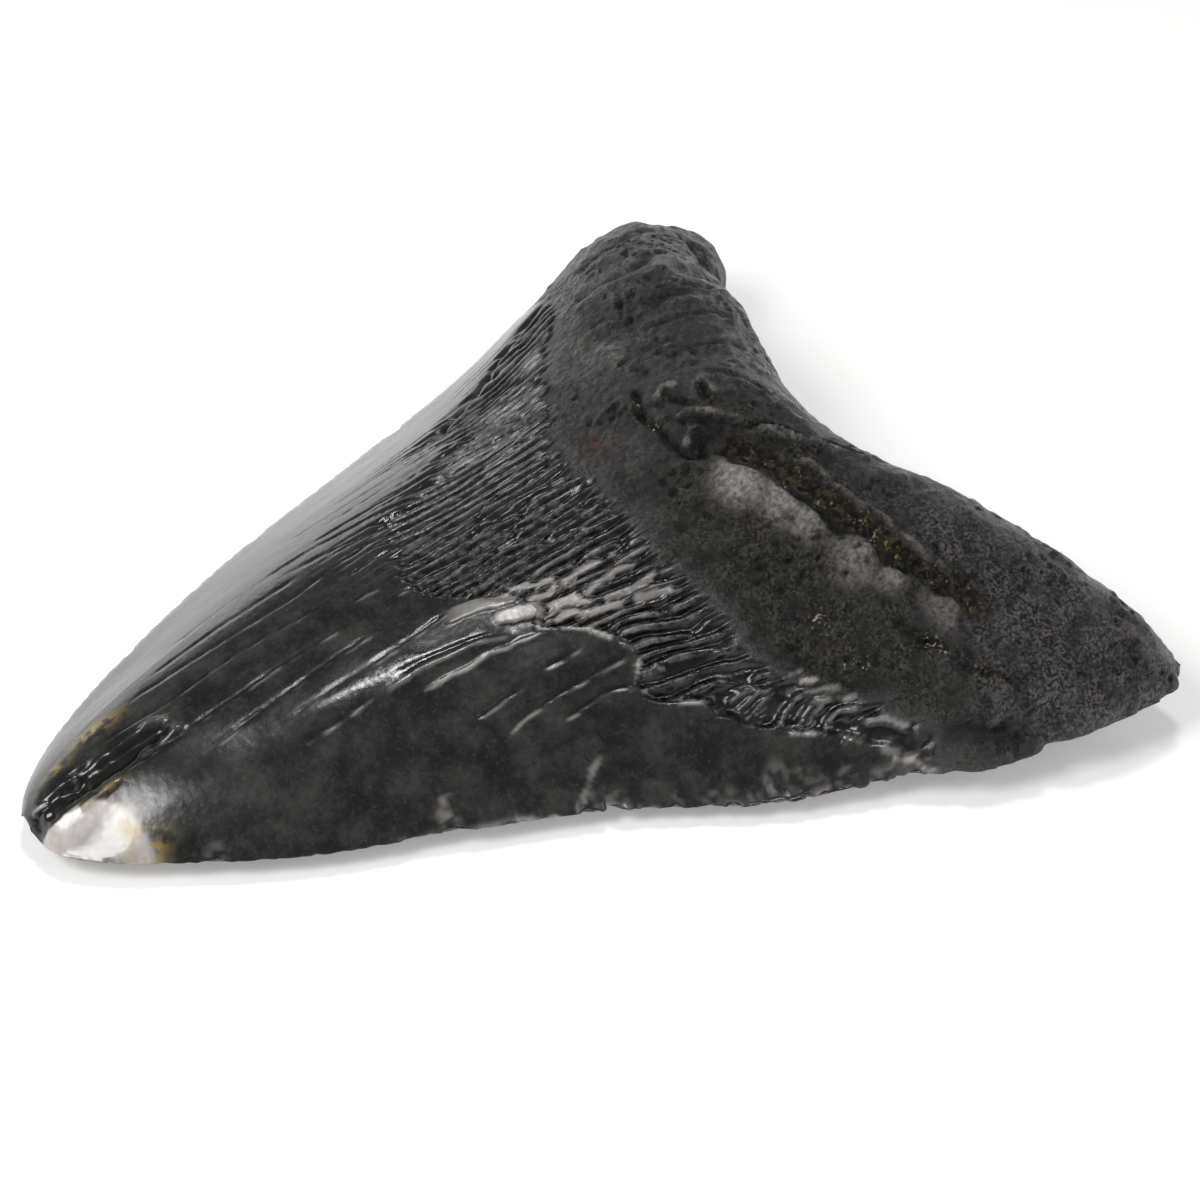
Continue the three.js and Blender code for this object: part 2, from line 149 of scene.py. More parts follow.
# Trenches, folds and cracks: half width, depth, lip beside it, and the line
FOLDS = [
    (0.7, 0.9, 0.25, [(76.7, 27.4), (80.5, 30.2), (88.7, 35.6), (97.1, 41.2), (103.1, 45.2), (108, 46.1)]),
    (0.35, 0.5, 0, [(11.4, -4.9), (13.6, -5.1), (17.4, -5.1), (21, -5.4)]),
    (0.35, 0.4, 0, [(5.4, -0.3), (7.9, -1), (11.1, -0.5), (14.1, -0.6)]),
    # cracks where the crown face meets the root
    (0.5, 1.5, 0.4, [(97.4, 7), (95, 1.6), (94.8, -2.3), (95, -6), (95, -9.2), (96.7, -11)]),
    (0.45, 1.2, 0.3, [(99.4, -5.6), (101.8, -7.4), (104.3, -9.9), (107.5, -11), (109.2, -13.3),
        (110.5, -15.4), (114, -18.3), (118, -24)]),
    (0.45, 1.0, 0.3, [(98.8, 0.6), (100.2, -1.8), (100.6, -3.2)]),
    (0.5, 0.8, 0.3, [(98.4, -11.4), (99.7, -12.4), (102.4, -13.6), (103.6, -16)]),
    # crevice under the mineral seam
    (0.6, 1.5, 0.1, [(98.4, -11.5), (100.1, -14.8), (101.9, -17.2), (102.6, -21), (103.4, -23.8),
        (104.1, -26.3), (104.9, -28.7), (104.6, -30.8), (107, -32.8), (107.6, -34.1), (107.8, -35.9),
        (107.3, -37.9), (108.4, -39), (110.1, -40.5), (110.5, -42.4), (111.2, -44.8), (112.3, -46.3),
        (113.7, -49)]),
    # broken crack below the lumps
    (0.5, 1.2, 0.3, [(105.3, -41.7), (105, -42.7), (105.3, -44.4), (105.2, -45.5), (106.2, -47.2),
        (107.1, -48.3), (108.3, -50), (109.1, -51.3), (109.5, -52.6), (111.4, -54.4), (113.1, -55.8),
        (116.5, -59.6)]),
    (0.9, 1.2, 0.3, [(102, -53), (104.5, -55.1), (108, -57.4), (111.1, -60.1), (115.5, -62)]),
    (1.2, 0.7, 0.2, [(104.7, 36.6), (110.7, 35.4), (117.5, 35.3), (124, 38.8)]),
    (1.1, 0.6, 0.2, [(102.3, 27.6), (110.8, 25.2), (119, 22.2), (126.9, 28.3)]),
    (1.2, 0.7, 0.2, [(113, 47), (122, 47.7), (129, 49.9)]),
    (1.2, 0.9, 0.4, [(131, 37), (134.5, 44), (136, 49)]),
    (0.7, 0.6, 0.3, [(106.5, 18.7), (115.5, 17.2), (121.7, 16.4)]),
    (0.7, 0.5, 0.3, [(103.2, 8.9), (111.9, 9.8), (117.8, 8.3)]),
    (0.7, 0.6, 0.3, [(105.8, 2.9), (110, -0.2), (112.6, -5.3)]),
    (0.6, 0.5, 0.3, [(98.5, 12.5), (103.5, 13), (109, 12.4)]),
]
# Hollows, painted with shade inside: half width, depth, line
HOLLOWS = [
    (1.7, 1.1, [(6.5, -2.7), (9, -2.8), (12, -2.9), (15, -2.9), (18.3, -3)]),
    (1.5, 0.6, [(-0.5, -2.6), (2.5, -2.9), (6.5, -2.7)]),
    (1.5, 1.1, [(82.5, -36.6), (84.6, -38.2), (87.3, -40), (90.8, -42.9), (92.5, -45), (94.3, -47)]),
    (1.0, 0.9, [(95.5, -48), (98.1, -49.9), (99.6, -51.3), (101, -53.1)]),
    (0.6, 0.6, [(81.4, -33.3), (84, -34.4), (86.7, -36.8)]),
    (0.6, 0.7, [(88.1, -38.6), (90.9, -40.4), (93.7, -42)]),
    (0.9, 1.1, [(97.9, -8.2), (96.8, -10.4)]),
    (0.7, 1.0, [(103.9, -0.2), (103.1, -2.6)]),
]
# Raised ribs: half width, height, how light each is painted (partly wear, partly painted highlight), line
RIBS = [
    # webs of the recess
    (0.33, 0.8, 0.2, [(83.1, -37.3), (84.3, -37.4), (86, -37.8), (87.8, -39)]),
    (0.33, 0.8, 0.2, [(84, -38.7), (85.8, -38.6), (87.2, -38.7), (89, -39.4)]),
    (0.33, 0.8, 0.2, [(84.8, -39.9), (86.7, -39.7), (88.4, -39.6)]),
    (0.35, 0.9, 0.25, [(87.4, -42.7), (89, -41.9), (90.7, -41.7), (92.1, -42.2)]),
    (0.35, 0.9, 0.25, [(89, -43.9), (90.9, -43.6), (92.6, -43.3), (95.1, -44.5)]),
    (0.33, 0.8, 0.2, [(90.2, -44.6), (92.1, -44.1), (93.6, -44.2)]),
    (0.35, 0.9, 0.3, [(92, -46.6), (93.5, -45.6), (94.9, -45.6), (97.7, -47.1)]),
    (0.4, 0.7, 0.6, [(91, -39.2), (93, -40)]),
    (0.4, 0.7, 0.7, [(92, -40.6), (94.4, -41.9)]),
    (0.4, 0.7, 0.5, [(91.9, -41.7), (95, -43.3), (96.5, -44.3)]),
    (0.4, 0.7, 0.5, [(95.6, -45.1), (97.5, -45.9)]),
    (0.4, 0.6, 0.4, [(96.6, -48), (99.6, -49.7), (100.7, -51.1), (101.9, -52.4)]),
    (0.35, 0.4, 0.3, [(97.6, -51), (99.8, -52.8), (100.9, -53.9)]),
    # rim and inner ridge of the hollow near the tip, and the chipped crest beside it
    (0.45, 0.7, 0.1, [(16.4, -1.2), (18.1, -0.9), (19.9, -2.1), (20.4, -4.0), (20, -5)]),
    (0.4, 0.6, 0.12, [(14.7, -4.3), (16.6, -3.9), (18.5, -4.3), (20.2, -4.5)]),
    (0.35, 0.4, 0.7, [(0.2, -1.2), (1.2, -1.5), (2.6, -1.9)]),
    (0.4, 0.5, 0.4, [(5.4, -6), (7, -5.7), (8.6, -5.6), (11.1, -5.6)]),
    # chips of the cutting edge
    (0.6, 0.3, 0.35, [(67, -32.9), (64.5, -33.6), (62.6, -35), (62.2, -36.3)]),
    (0.6, 0.25, 0.32, [(46.4, -26.9), (45.2, -28.2), (45.3, -29.6)]),
    # worn ridges of the crown that catch the light, painted pale as their highlight
    (0.4, 0.22, 0.25, [(44.6, -14.7), (47.5, -14.5), (50.6, -14.4), (53.5, -14.7), (56.1, -15.1),
        (58.3, -15.4), (61.7, -16.3), (64.2, -16.9)]),
    (0.33, 0.2, 0.5, [(47.9, -17.1), (51.9, -17), (56.3, -17.3), (60.2, -17.5), (64.1, -18),
        (68.4, -18.9)]),
    # folds of the root
    (0.9, 1.2, 0.3, [(97.2, 1.2), (99.1, 2.8), (101.7, 1.8)]),
    (0.6, 1.2, 0.25, [(97.2, -3.2), (99.6, -3.9), (101.6, -5.5), (103.2, -7.7), (105.2, -9.3)]),
    (0.8, 1.0, 0.12, [(95.6, -8.7), (96.5, -7.5), (98.6, -5.7)]),
    (0.8, 0.9, 0.15, [(104.6, -11.2), (106.4, -12.2), (108.2, -14.2), (110.6, -16.4), (112.8, -20.5)]),
    (0.4, 1.1, 0.25, [(104.6, 2), (104.7, -1.2), (104.6, -3.4)]),
    (0.5, 1.0, 0.22, [(104.2, -13.6), (105, -15.8), (105.9, -18.3), (108, -20.2), (108.2, -22.4),
        (107.8, -24.7), (108.7, -26.9), (109.2, -29.6), (110.1, -31.2), (110.5, -33.4), (110.6, -35.1),
        (111.4, -38.2), (113, -42.2), (113.8, -44.4), (115.2, -46.9)]),
    (0.4, 0.8, 0.1, [(109.3, -55.6), (111, -56), (111.7, -57.4), (110.8, -58.8), (109.3, -58.3)]),
]
# Smooth pale blades of peeled enamel and dentine: half width, how pale, line
BLADES = [
    (1.1, 0.36, [(57.4, -10.3), (61.9, -10.9), (65.4, -12.3)]),
    (0.95, 0.42, [(63.2, -13.8), (65.2, -14.5), (67.8, -15.5)]),
    (0.5, 0.5, [(69.6, -15.9), (73.3, -17.1)]),
    (0.5, 0.45, [(72.2, -19), (74.8, -19.9), (77.1, -20.9)]),
    (0.5, 0.5, [(69.4, -17.9), (72, -18.3)]),
    (0.55, 0.35, [(72.5, -14.4), (75.3, -14.2), (77.8, -14.6)]),
    (0.5, 0.35, [(74.6, -17.3), (76.7, -16.9), (79.2, -17.1), (81, -17.6)]),
    (0.5, 0.3, [(75.9, -19.3), (80.5, -20.5), (82.7, -20.2)]),
    (0.5, 0.35, [(79.2, -21.6), (82.2, -22.6), (83.8, -23.2)]),
    (0.45, 0.5, [(66.4, -10.9), (69.3, -12.4), (71.6, -12.9)]),
    (0.45, 0.45, [(67.6, -13.9), (70.4, -14.6), (71.5, -13.9)]),
    (0.4, 0.4, [(68.9, -16.7), (71.5, -16.9), (74, -18.2)]),
]
# Low keel of the crown, which catches the light
KEEL = [(27, -10.8), (36, -11.8), (45.3, -12.8), (51.4, -13.5), (58.3, -15), (64, -16.6)]
# Broad mineral seam between its lips
SEAM = [
    (99.4, -10.4), (101.8, -13.8), (103.9, -16.8), (105, -20.4), (105.6, -24), (106.4, -26.8), (107.3, -31),
    (108.9, -34.3), (109.2, -38), (111.1, -41.3), (112.6, -44), (114.2, -47.8), (115.1, -50.2),
]
# Small lumps, hollows and pits: place, radii along x and y, height
LUMPS = [
    ((99, -17.6), (2.4, 3.0), 0.9), ((101, -22.4), (1.9, 2.6), 0.9), ((102.6, -27.2), (1.8, 2.6), 0.8),
    ((104.8, -35.2), (2.2, 2.6), 1.2), ((107.2, -39.6), (1.5, 1.7), 1.0), ((110.8, -46.6), (2.2, 2.8), 1.0),
    ((124.2, 30), (4, 3.4), -1.3), ((123.7, 24.6), (3, 2.6), 0.8), ((91, 2), (3.5, 4), -0.6),
    ((96, -36), (5, 4), -0.6), ((103, -48), (3.4, 2.6), -0.7), ((119, -30), (2, 1.8), -0.6),
    ((126, -50), (2.4, 2), -0.7), ((112, 22), (2.2, 2), -0.6), ((7, -8.8), (6, 3.4), -0.7),
    ((139.5, 51), (4, 5.5), 1.4), ((136.5, 41.5), (2.5, 2.2), -0.9), ((100, 17), (5, 6), 0.7),
    ((108, 33), (4, 5), 0.6), ((88, -8), (4, 5), -0.4), ((92, -22), (5, 6), -0.3),
    ((105.3, -41.3), (0.8, 0.8), -0.8),
]
# Chips of the cutting edges: place and radius
CHIPS = [
    (17.5, -18.7, 1.1), (45.3, -29.6, 1.4), (62.6, -36.2, 1.2), (66.2, -37.6, 0.9), (72.2, -41.6, 0.9),
    (76.9, -43.9, 0.9), (78.8, -45.2, 1.0), (81.4, -46.4, 0.8), (84.8, -47, 1.7), (87.2, -48.5, 1.4),
    (89.6, -50.2, 0.9), (92.6, -51.2, 1.2), (96.2, -53, 0.8), (100.6, -55, 1.2),
]
# Crystals that glint: place
GLINTS = [
    (105.3, -25.9), (107.5, -30.8), (108.6, -30.9), (111.6, -42.6), (102.6, -21), (96.7, -36.9),
    (97.8, -37), (97.7, -38.4), (96.9, -38.3), (98.8, -42.6), (98, -42.9), (99.6, -44.2), (106.7, -47.7),
    (107.5, -48.8), (108.3, -49.9), (111, -54.1), (113.4, -56.3), (107.9, -33.7), (108.4, -34.8),
    (96.3, 4.2), (95.1, 0.6), (94.9, -1.6),
]
# Inner edge of the facet worn at the tip
FACET_EDGE = [
    (-2, -3.7), (0.2, -4.2), (6, -5.3), (8.4, -6), (11.2, -9), (11.6, -12), (12.5, -15.7), (13, -20),
]

# Heights and depths of the relief, in millimetres
RIDGE_HEIGHT, LONG_GROOVE_DEPTH = 1.25, 0.3
BLADE_HEIGHT, LIP_HEIGHT, KEEL_HEIGHT = 0.15, 0.22, 0.95
LUMP_HEIGHT, WRINKLE_HEIGHT, PORE_DEPTH = 0.36, 0.28, 0.4
EDGE_WEAR = 0.25
# Depth of a chip for each millimetre of its radius
CHIP_DEPTH = 0.45
# Least polish of the enamel, of 1
PLAIN_POLISH = 0.3
# How late the rows bend from straight to the line of the basal edge
ROW_BEND = 2.6
# Turns that find where the ridge through a point meets the middle of the band
FOOT_TURNS = 14
# Noise that makes the ridges of the band stray, and that makes them uneven:
# its strength on the near and the far side, its shift, and its size across and along
RIDGE_SWAYS = [(0.6, 0.6, 0, (6, 16, 1)), (0.34, 0.15, 40, (2.4, 6, 1)), (0.1, 0.05, 33, (1.1, 1.9, 1))]
RIDGE_STRENGTHS = [(0.35, 0.2, 70, (1.8, 6, 1)), (0.17, 0.07, 20, (1.1, 1.6, 1))]
# The broken surface beside the tip runs along one of the hollows
BROKEN_TIP = HOLLOWS[1][2]
# Radii of a glint
GLINT_SIZE = (0.55, 0.55)
# Pale lumps beside the seam, pale and painted-sheen strands of the band, yellow stains at the tip: place,
# radii, strength
PALE_LUMPS = [
    ((98.4, -17), (3.2, 4), 0.72), ((100.8, -22.8), (2.6, 3.6), 0.6), ((102.2, -27.4), (2.4, 3.2), 0.45),
    ((104.4, -34.8), (3, 3.8), 0.36), ((107, -39.8), (2, 2.2), 0.36), ((110.4, -46), (2.4, 3.6), 0.22),
]
PALE_AND_SHEEN_STRANDS = [
    ((71.5, -14.5), (7, 4.5), 0.62), ((81.5, -15), (4.5, 3), 0.7), ((78, -21), (6, 5), 0.5),
    ((76, -27), (9, 5), 0.12), ((70, 20), (22, 14), 0.42), ((92, 34), (12, 10), 0.4),
]
STAINS = [
    ((12.5, 4.0), (3.6, 1.2), 1), ((9.4, -11), (1.5, 2.2), 1), ((10.6, -14), (2.2, 1.6), 1),
    ((6, 2.1), (2, 0.8), 0.8), ((8, -5.7), (3, 0.5), 0.8),
]
# How far the row's frame lies across the tip's
ROW_OFFSET_Y = 0.075

# Colours, as red, green and blue in linear light
ENAMEL_BLACK, ENAMEL_CLOUD, ENAMEL_SPECK = (0.006, 0.006, 0.0058), (0.036, 0.038, 0.034), (0.07, 0.072, 0.064)
BONE_BLACK, BONE_SHADE, BONE_GREY = (0.002, 0.0018, 0.0016), (0.004, 0.0035, 0.003), (0.13, 0.119, 0.114)
BONE_EARTH, BONE_RED, BONE_CREST_WORN_AND_LIT = (0.135, 0.124, 0.09), (0.05, 0.016, 0.012), (0.15, 0.14, 0.13)
RUST, PAINTED_SHADE_BLACK, PALE_AND_HIGHLIGHT = (0.09, 0.02, 0.016), (0.002, 0.0018, 0.0015), (0.56, 0.52, 0.5)
PAINTED_VALLEY_SHADE = (0.0006, 0.0006, 0.0006)
STRAND_DARK, STRAND_LIGHT = (0.008, 0.0078, 0.0075), (0.085, 0.083, 0.079)
CRUMB_DARK, CRUMB_BROWN = (0.003, 0.002, 0.0015), (0.06, 0.046, 0.027)
MINERAL_YELLOW, STAIN_YELLOW, GLINT = (0.3, 0.2, 0.07), (0.3, 0.21, 0.06), (0.75, 0.68, 0.48)
FLOOR_WHITE = (0.93, 0.93, 0.92, 1)
ENAMEL_IOR = 1.55
# Depth of the bone's finest grain, in metres
GRAIN_DEPTH = 0.0012

# Studio, in metres
FLOOR_HALF, FLOOR_GAP, FLOOR_GLOW = 3, 0.0002, 0.26
WORLD_LIGHT = 0.22
LIT_POINT = (0, 0, 0.015)
# Lights: name, direction from the tooth, distance, size, radiance
SOFTBOXES = [
    ("left_softbox", (-0.62, -0.16, 0.76), 0.7, (0.24, 0.24), 14),
    ("top_softbox", (0.07, 0.03, 1), 0.8, (0.13, 0.1), 34),
    ("back_softbox", (0.6, 0.6, 0.54), 0.9, (0.25, 0.25), 2.6),
    ("fill_softbox", (0.42, -0.72, 0.55), 0.9, (0.4, 0.4), 2.5),
]
CAMERA_AZIMUTH, CAMERA_ELEVATION = math.radians(-33), math.radians(38)
CAMERA_DISTANCE, CAMERA_LENS, CAMERA_TARGET = 0.48, 105.4, (0.01314, -0.00503, 0.008)

# Mesh of the lingual face: from and to this share of the length, number of rows, points across
BLOCKS = [(0, 0.12, 36, 130), (0.12, 0.4, 50, 210), (0.4, 0.82, 110, 420), (0.82, 1, 60, 360)]
LAST_ROWS_EASE = 1.6


def smoothstep(start, stop, x):
    k = np.clip((x - start) / (stop - start), 0, 1)
    return k * k * (3 - 2 * k)


def mix(a, b, k):
    return a + (b - a) * k


def spot(x, y, at, size):
    """Soft oval spot: 1 at its middle, fading over its radii along x and y."""
    return np.exp(-(((x - at[0]) / size[0]) ** 2) - ((y - at[1]) / size[1]) ** 2)


def tapered(share, reach):
    """Fades a line out over a share of its length at both ends."""
    return smoothstep(0, reach, share) * smoothstep(1, 1 - reach, share)


def curve(pairs, x):
    """Smooth curve through (place, value) pairs, with three-point slopes."""
    knots, values = np.array(pairs, float).T
    slopes = np.gradient(values, knots)
    i = np.clip(np.searchsorted(knots, x, side="right") - 1, 0, len(knots) - 2)
    span = knots[i + 1] - knots[i]
    k = np.clip((x - knots[i]) / span, 0, 1)
    return ((2 * k**3 - 3 * k**2 + 1) * values[i] + (k**3 - 2 * k**2 + k) * span * slopes[i]
            + (3 * k**2 - 2 * k**3) * values[i + 1] + (k**3 - k**2) * span * slopes[i + 1])


def outline(points, share):
    """Plan point at a share of the length of a line of points."""
    points = np.array(points, float)
    run = np.r_[0, np.cumsum(np.hypot(*np.diff(points, axis=0).T))]
    run /= run[-1]
    return [curve(list(zip(run, points[:, axis])), share) for axis in (0, 1)]


class Noise:
    """Seeded smooth noise in space, about -1 to 1, and scattered cells."""

    def __init__(self, seed):
        draw = np.random.default_rng(seed)
        self.order = draw.permutation(256)
        arrows = draw.normal(size=(256, 3))
        self.arrows = arrows / np.linalg.norm(arrows, axis=1)[:, None]
        self.spots = draw.random((256, 3))

    def pick(self, cell):
        i, j, k = cell.T
        return self.order[(self.order[(self.order[i & 255] + j) & 255] + k) & 255]

    def smooth(self, points, size):
        place = points / np.array(size)
        cell = np.floor(place).astype(int)
        part = place - cell
        ease = part**3 * (part * (part * 6 - 15) + 10)
        total = np.zeros(len(points))
        for corner in np.ndindex(2, 2, 2):
            step = np.array(corner)
            weight = np.where(step == 1, ease, 1 - ease).prod(axis=1)
            total += weight * (self.arrows[self.pick(cell + step)] * (part - step)).sum(axis=1)
        return total * 1.6

    def layered(self, points, size, layers):
        size = np.array(size, float)
        return sum(self.smooth(points + 31.7 * n, size / 2**n) / 2**n for n in range(layers))

    def cells(self, points, size):
        """Distance to the nearest scattered spot, as a share of size."""
        place = points / size
        cell = np.floor(place).astype(int)
        nearest = np.full(len(points), 9.0)
        for corner in np.ndindex(3, 3, 3):
            other = cell + np.array(corner) - 1
            gap = np.linalg.norm(other + self.spots[self.pick(other)] - place, axis=1)
            nearest = np.minimum(nearest, gap)
        return nearest


def nicks(items, share):
    return sum(depth * np.exp(-(((share - at) / half) ** 2)) for at, depth, half in items)


def surfaces(s, t):
    """Plan position, lingual and labial heights at shares s of the length and t of the half width."""
    across = (t + 1) / 2
    near, far, end = outline(NEAR_EDGE, s), outline(FAR_EDGE, s), outline(BASAL_EDGE, across)
    plan = []
    for axis in (0, 1):
        straight_end = mix(NEAR_EDGE[-1][axis], FAR_EDGE[-1][axis], across)
        plan.append(mix(near[axis], far[axis], across) + s**ROW_BEND * (end[axis] - straight_end))
    x, y = plan
    waves = np.sin(s * 610 + 3 * np.sin(s * 97)) + 0.6 * np.sin(s * 263)
    wear_and_painted_light = EDGE_WEAR * np.clip(waves, 0, 2) * smoothstep(0.86, 0.8, s)
    y = y + (nicks(NEAR_NICKS, s) + wear_and_painted_light) * smoothstep(-0.95, -1, t)
    y = y - (nicks(FAR_NICKS, s) + 0.6 * wear_and_painted_light) * smoothstep(0.95, 1, t)
    edge = mix(curve(NEAR_EDGE_HEIGHT, s), curve(FAR_EDGE_HEIGHT, s), across)
    edge = mix(edge, curve(BASAL_RIM, t), smoothstep(0.8, 1, s))
    root = smoothstep(0.6, 0.84, s)
    dome = np.clip(1 - np.abs(t) ** (2.15 + 0.3 * root), 0, 1)
    basal = np.sqrt(np.clip(1 - np.clip((s - 0.87) / 0.13, 0, 1) ** 2.2, 0, 1))
    upper = edge + (curve(CREST, s) - edge) * dome ** (1 - 0.45 * root) * basal
    for at, size, height in SHOULDERS:
        upper = upper + height * spot(x, y, at, size) * np.sqrt(dome) * basal
    sideward = np.clip((np.abs(t) - 0.5) / 0.5, 0, 1)
    blade, lobe = smoothstep(1, 0, sideward) ** 0.8, (1 - sideward**1.7) ** 0.7
    flat = mix(blade, lobe, smoothstep(0.74, 0.88, s)) * smoothstep(0, 0.2, s)
    flat = flat * np.sqrt(np.clip(1 - np.clip((s - 0.86) / 0.14, 0, 1) ** 2, 0, 1))
    return x, y, upper, edge * (1 - flat)


def column_places(count):
    even = np.linspace(-1, 1, count)
    return (even + np.sin(even * np.pi / 2)) / 2


def strip(first, second, first_at, second_at):
    """Triangles between two lines of points, always closing the shorter gap."""
    made, i, j = [], 0, 0
    while i < len(first) - 1 or j < len(second) - 1:
        next_first = first_at[i + 1] if i < len(first) - 1 else math.inf
        next_second = second_at[j + 1] if j < len(second) - 1 else math.inf
        if next_first <= next_second:
            made.append((first[i], first[i + 1], second[j]))
            i += 1
        else:
            made.append((first[i], second[j + 1], second[j]))
            j += 1
    return made


def flipped(faces):
    return [face[::-1] for face in faces]


# Lingual sheet
shares, places, rows, row_shares = [], [], [], []
count = 0
for number, (start, stop, steps, across) in enumerate(BLOCKS):
    for step in range(0 if number == 0 else 1, steps + 1):
        k = step / steps
        if number == len(BLOCKS) - 1:
            k = 1 - (1 - k) ** LAST_ROWS_EASE
        share = start + (stop - start) * k
        rows.append(np.arange(count, count + across))
        row_shares.append(share)
        shares.append(np.full(across, share))
        places.append(column_places(across))
        count += across
top_count = count
# Labial sheet, on every second row and every third column of the lingual one
low_places = column_places(BLOCKS[-1][3])[3:-3:3]
low_rows, low_shares = [], []
for share in row_shares[2:-1:2]:
    low_rows.append(np.arange(count, count + len(low_places)))
    low_shares.append(share)
    shares.append(np.full(len(low_places), share))
    places.append(low_places)
    count += len(low_places)
s, t = np.concatenate(shares), np.concatenate(places)
lingual = np.arange(count) < top_count

# Faces of both sheets, and the seams that join them all round
quads, triangles = [], []
for a, b in zip(rows, rows[1:]):
    if len(a) == len(b):
        quads.append(np.stack([a[:-1], b[:-1], b[1:], a[1:]], axis=1))
    else:
        triangles += flipped(strip(a, b, column_places(len(a)), column_places(len(b))))
for a, b in zip(low_rows, low_rows[1:]):
    quads.append(np.stack([a[:-1], a[1:], b[1:], b[:-1]], axis=1))
low_first, low_last = [row[0] for row in low_rows], [row[-1] for row in low_rows]
triangles += flipped(strip([row[0] for row in rows], low_first, row_shares, low_shares))
triangles += strip([row[-1] for row in rows], low_last, row_shares, low_shares)
triangles += strip(rows[0], low_rows[0], column_places(len(rows[0])), low_places)
triangles += flipped(strip(rows[-1], low_rows[-1], column_places(len(rows[-1])), low_places))
quads = np.concatenate(quads)
triangles = np.array(triangles)

x, y, upper, lower = surfaces(s, t)
points = np.stack([x, y, np.where(lingual, upper, lower)], axis=1)


def normals_of(points):
    """Area-weighted normal at every point."""
    corners = np.concatenate([triangles, quads[:, [0, 1, 2]], quads[:, [0, 2, 3]]])
    a, b, c = (points[corners[:, i]] for i in range(3))
    face = np.cross(b - a, c - a)
    total = np.zeros_like(points)
    for i in range(3):
        for axis in range(3):
            total[:, axis] += np.bincount(corners[:, i], weights=face[:, axis], minlength=len(points))
    return total / (np.linalg.norm(total, axis=1)[:, None] + 1e-12)


normals = normals_of(points)

# Fields over the surface. Lines are followed in a slightly warped plan, so that none runs too straight.
rough, fine, wander = Noise(11), Noise(23), Noise(37)
warp = np.stack([wander.smooth(points + shift, 3.0) for shift in (0, 50)], axis=1)
slight = np.stack([wander.smooth(points + shift, 1.2) for shift in (90, 130)], axis=1)
plan = points[:, :2]


def strayed(broad, small=0):
    """The plan with its places moved a little by two sizes of noise, in millimetres."""
    return plan + broad * warp + small * slight


def on_plane(across, along):
    """Places on a flat plane, to read a noise at."""
    return np.stack([across, along, np.zeros(count)], axis=1)


def follow(line, at):
    """Distance to a line of points, share along it, and which side (-1 or 1)."""
    line = np.array(line, float)
    run = np.r_[0, np.cumsum(np.hypot(*np.diff(line, axis=0).T))]
    best = np.full(len(at), np.inf)
    share, side = np.zeros(len(at)), np.ones(len(at))
    for i in range(len(line) - 1):
        a, d = line[i], line[i + 1] - line[i]
        k = np.clip(((at - a) @ d) / (d @ d), 0, 1)
        off = at - a - k[:, None] * d
        distance = np.hypot(off[:, 0], off[:, 1])
        closer = distance < best
        best = np.where(closer, distance, best)
        share = np.where(closer, (run[i] + k * (run[i + 1] - run[i])) / run[-1], share)
        side = np.where(closer, np.sign(d[0] * off[:, 1] - d[1] * off[:, 0]), side)
    return best, share, side


def cut(width, depth, lip, line, at):
    """A trench with a raised lip on its near side, closed at both ends: its height and how deep it is."""
    distance, share, side = follow(line, at)
    uneven = np.clip(0.75 + 0.6 * fine.smooth(points + line[0][0], 1.9), 0.05, 1.4)
    strength = tapered(share, 0.12) * uneven
    trench = np.exp(-((distance / width) ** 2)) * strength
    ridge = np.exp(-(((distance - 1.9 * width) / width) ** 2)) * strength * (side < 0)
    return lip * ridge - depth * trench, trench


# The band between the enamel and the root, on the lingual face: its ridges are counted at their feet
foot = y.copy()
for turn in range(FOOT_TURNS):
    foot = mix(foot, y - curve(RIDGE_SLOPE, foot) * (x - BAND_MIDDLE), 0.5)
on_band = on_plane(foot, x)
far_side = smoothstep(-6, 12, y)
phase = curve(RIDGE_COUNT, foot)
for near, far, shift, size in RIDGE_SWAYS:
    phase = phase + mix(near, far, far_side) * wander.smooth(on_band + shift, size)
ridge_number = np.floor(phase)
by_ridge = on_plane(ridge_number * 7.3, np.full(count, 3.1))
ragged = 1.1 * fine.smooth(by_ridge, 1.0) + 0.7 * fine.smooth(on_band, (1.2, 3, 1))
beyond = x - curve(ENAMEL_END, y)
into_root = x - curve(ROOT_START, y)
ledge_half = mix(0.2, 3.5, far_side)
peeled = smoothstep(-ledge_half, ledge_half, beyond + ragged * mix(0.3, 3.5, far_side))
band = peeled * smoothstep(1.5, -1.5, into_root + 1.5 * ragged)
profile = 1 - np.abs(2 * (phase - ridge_number) - 1) ** 1.25
breaks = smoothstep(0.28, 0.55, fine.smooth(on_plane(ridge_number * 5.7, x * 0.75), 2.6))
strength = 0.9
for near, far, shift, size in RIDGE_STRENGTHS:
    strength = strength + mix(near, far, far_side) * fine.smooth(on_band + shift, size)
ridges = np.clip(profile, 0, 1) ** 0.7 * strength * (1 - mix(0.6, 0.2, far_side) * breaks)
ridges += mix(0.12, 0.03, far_side) * wander.smooth(on_band + 15, (0.7, 6, 1))
# some of its valleys run on into the enamel of the far side
long_grooves = smoothstep(-14, -2, beyond) * far_side * smoothstep(50, 40, y)
long_grooves *= smoothstep(0.1, 0.5, fine.smooth(by_ridge + 9, 1.0) + 0.35)

